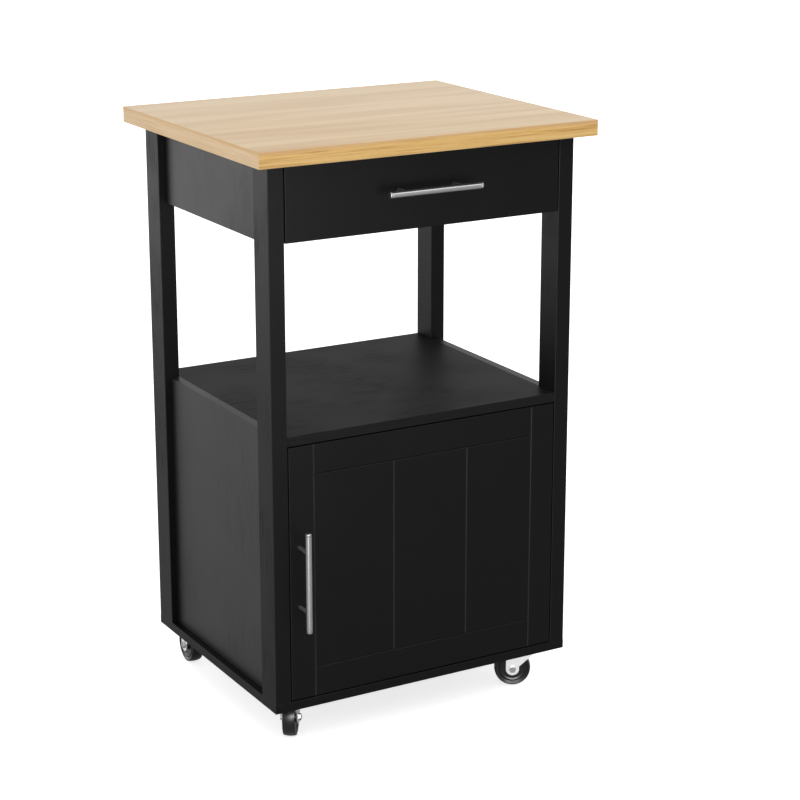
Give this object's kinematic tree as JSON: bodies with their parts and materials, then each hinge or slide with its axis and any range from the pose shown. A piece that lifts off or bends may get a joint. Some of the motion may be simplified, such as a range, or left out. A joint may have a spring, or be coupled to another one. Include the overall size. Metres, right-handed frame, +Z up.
{
  "type": "kitchen cart",
  "caption": "Rolling kitchen cart: pale wooden top on four black posts, a drawer, an open shelf and a cabinet with a hinged door, on swivel casters.",
  "frame": {"origin": "centre of the bounding box on the floor, under the wheels", "axes": "+X to the right of someone facing the door, +Y to the back, +Z up"},
  "size_m": [0.58, 0.492, 0.946],
  "materials": {
    "oak_worktop": "oiled pale wood with fine lengthwise grain",
    "black_board": "satin black paint on board, faint grain",
    "thin_board": "smooth black hardboard",
    "drawer_board": "plain lacquered wood",
    "dowel_wood": "raw beech",
    "brushed_handle": "satin brushed along the bar",
    "zinc_hardware": "zinc plated",
    "bright_zinc": "bright zinc plated",
    "nickel_hinge": "nickel plated",
    "white_runner": "white powder coat",
    "nylon_roller": "white nylon",
    "black_wheel": "black plastic with a soft gloss"
  },
  "bodies": {
    "carcass": {"worktop": "oak_worktop", "front_left_post": "black_board", "front_right_post": "black_board", "rear_left_post": "black_board", "rear_right_post": "black_board", "left_side_panel": "black_board", "right_side_panel": "black_board", "left_apron": "black_board", "right_apron": "black_board", "rear_apron": "black_board", "back_panel": "thin_board", "bottom_board": "black_board", "middle_shelf": "black_board", "inner_shelf": "black_board", "shelf_pins": "zinc_hardware", "left_drawer_runner_fixed": "white_runner", "right_drawer_runner_fixed": "white_runner", "dowels": "dowel_wood", "cam_locks": "zinc_hardware", "cam_bolts": "zinc_hardware", "wood_screws": "zinc_hardware", "caster_plates": "bright_zinc", "hinge_plates": "nickel_hinge", "hinge_arms": "nickel_hinge"},
    "drawer": {"drawer_front": "black_board", "drawer_left_side": "drawer_board", "drawer_right_side": "drawer_board", "drawer_back": "drawer_board", "drawer_bottom": "thin_board", "drawer_dowels": "dowel_wood", "drawer_handle_bar": "brushed_handle", "drawer_handle_posts": "brushed_handle", "drawer_handle_screws": "zinc_hardware", "left_drawer_runner_moving": "white_runner", "right_drawer_runner_moving": "white_runner", "drawer_runner_screws": "zinc_hardware"},
    "door": {"door_panel": "black_board", "door_handle_bar": "brushed_handle", "door_handle_posts": "brushed_handle", "door_handle_screws": "zinc_hardware", "hinge_cups": "nickel_hinge", "hinge_cup_screws": "zinc_hardware"},
    "hinge_links": {"hinge_long_links": "nickel_hinge"},
    "short_links": {"hinge_short_links": "nickel_hinge"},
    "left_front_roller": {"left_front_roller": "nylon_roller"},
    "left_rear_roller": {"left_rear_roller": "nylon_roller"},
    "right_front_roller": {"right_front_roller": "nylon_roller"},
    "right_rear_roller": {"right_rear_roller": "nylon_roller"},
    "front_left_fork": {"front_left_caster_fork": "bright_zinc", "front_left_caster_axle": "bright_zinc"},
    "front_left_wheel": {"front_left_caster_wheel": "black_wheel"},
    "front_right_fork": {"front_right_caster_fork": "bright_zinc", "front_right_caster_axle": "bright_zinc"},
    "front_right_wheel": {"front_right_caster_wheel": "black_wheel"},
    "rear_left_fork": {"rear_left_caster_fork": "bright_zinc", "rear_left_caster_axle": "bright_zinc"},
    "rear_left_wheel": {"rear_left_caster_wheel": "black_wheel"},
    "rear_right_fork": {"rear_right_caster_fork": "bright_zinc", "rear_right_caster_axle": "bright_zinc"},
    "rear_right_wheel": {"rear_right_caster_wheel": "black_wheel"}
  },
  "joints": [
    {"name": "drawer_slide", "type": "slide", "parent": "carcass", "child": "drawer", "axis": [0, -1, 0], "range_m": [0, 0.26]},
    {"name": "door_swing", "type": "hinge", "parent": "hinge_links", "child": "door", "pos_m": [0.2253, -0.1981, 0.29025], "axis": [0, 0, 1], "range_deg": [0, 119.4]},
    {"name": "hinge_link_swing", "type": "hinge", "parent": "carcass", "child": "hinge_links", "pos_m": [0.1882, -0.1783, 0.29025], "axis": [0, 0, 1], "range_deg": [-29.5, 0]},
    {"name": "short_link_swing", "type": "hinge", "parent": "carcass", "child": "short_links", "pos_m": [0.2057, -0.201, 0.29025], "axis": [0, 0, 1], "range_deg": [-51.5, 0]},
    {"name": "left_front_roller_spin", "type": "hinge", "parent": "carcass", "child": "left_front_roller", "pos_m": [-0.2321, -0.184, 0.8234], "axis": [1, 0, 0], "range_deg": [0, 1700]},
    {"name": "left_rear_roller_spin", "type": "hinge", "parent": "drawer", "child": "left_rear_roller", "pos_m": [-0.2321, 0.143, 0.8234], "axis": [1, 0, 0], "range_deg": [0, 2100]},
    {"name": "right_front_roller_spin", "type": "hinge", "parent": "carcass", "child": "right_front_roller", "pos_m": [0.2321, -0.184, 0.8234], "axis": [1, 0, 0], "range_deg": [0, 1700]},
    {"name": "right_rear_roller_spin", "type": "hinge", "parent": "drawer", "child": "right_rear_roller", "pos_m": [0.2321, 0.143, 0.8234], "axis": [1, 0, 0], "range_deg": [0, 2100]},
    {"name": "front_left_swivel", "type": "hinge", "parent": "carcass", "child": "front_left_fork", "pos_m": [-0.22, -0.167, 0.0651], "axis": [0, 0, 1], "continuous": true},
    {"name": "front_left_wheel_spin", "type": "hinge", "parent": "front_left_fork", "child": "front_left_wheel", "pos_m": [-0.20738, -0.14898, 0.03], "axis": [0.8192, -0.5736, 0], "continuous": true},
    {"name": "front_right_swivel", "type": "hinge", "parent": "carcass", "child": "front_right_fork", "pos_m": [0.22, -0.167, 0.0651], "axis": [0, 0, 1], "continuous": true},
    {"name": "front_right_wheel_spin", "type": "hinge", "parent": "front_right_fork", "child": "front_right_wheel", "pos_m": [0.20095, -0.156, 0.03], "axis": [0.5, 0.866, 0], "continuous": true},
    {"name": "rear_left_swivel", "type": "hinge", "parent": "carcass", "child": "rear_left_fork", "pos_m": [-0.22, 0.176, 0.0651], "axis": [0, 0, 1], "continuous": true},
    {"name": "rear_left_wheel_spin", "type": "hinge", "parent": "rear_left_fork", "child": "rear_left_wheel", "pos_m": [-0.21923, 0.19799, 0.03], "axis": [0.9994, -0.0349, 0], "continuous": true},
    {"name": "rear_right_swivel", "type": "hinge", "parent": "carcass", "child": "rear_right_fork", "pos_m": [0.22, 0.176, 0.0651], "axis": [0, 0, 1], "continuous": true},
    {"name": "rear_right_wheel_spin", "type": "hinge", "parent": "rear_right_fork", "child": "rear_right_wheel", "pos_m": [0.22895, 0.1961, 0.03], "axis": [0.9135, -0.4067, 0], "continuous": true}
  ],
  "couplings": [
    {"joint": "hinge_link_swing", "follows": "door_swing", "ratio": -0.24623},
    {"joint": "short_link_swing", "follows": "door_swing", "ratio": -0.43049},
    {"joint": "left_front_roller_spin", "follows": "drawer_slide", "rad_per_m": 111.11},
    {"joint": "left_rear_roller_spin", "follows": "drawer_slide", "rad_per_m": 138.89},
    {"joint": "right_front_roller_spin", "follows": "drawer_slide", "rad_per_m": 111.11},
    {"joint": "right_rear_roller_spin", "follows": "drawer_slide", "rad_per_m": 138.89}
  ]
}
